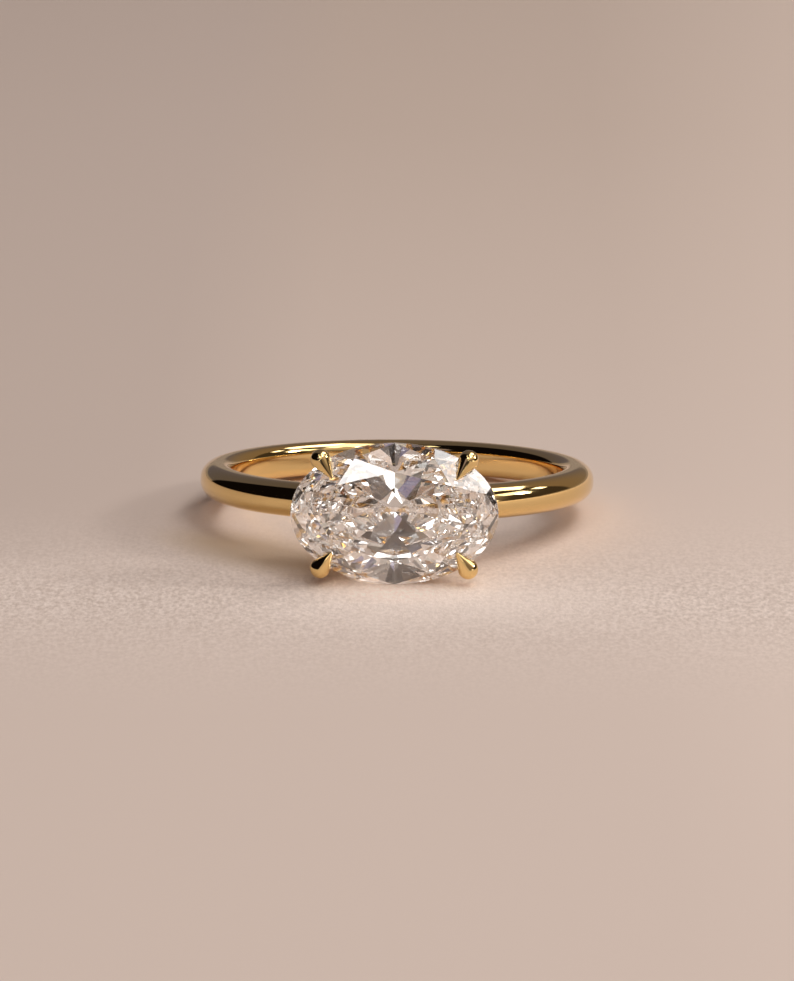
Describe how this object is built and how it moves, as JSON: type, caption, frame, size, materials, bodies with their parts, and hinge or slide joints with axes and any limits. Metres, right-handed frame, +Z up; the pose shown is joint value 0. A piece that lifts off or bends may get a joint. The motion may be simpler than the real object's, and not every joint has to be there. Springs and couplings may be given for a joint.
{
  "type": "east-west ring",
  "caption": "Plain gold finger ring with an oval brilliant-cut stone set across the finger in pointed claws, lying on its side.",
  "frame": {"origin": "centre of the finger hole", "axes": "+Z up as the ring lies on a table, -Y the way the stone faces, X along the stone's length"},
  "size_m": [0.0196, 0.0233, 0.0068],
  "materials": {
    "polished_gold": "polished yellow gold",
    "clear_stone": "faceted clear diamond"
  },
  "bodies": {
    "root": {"ring_metal": "polished_gold", "oval_stone": "clear_stone"}
  },
  "joints": []
}
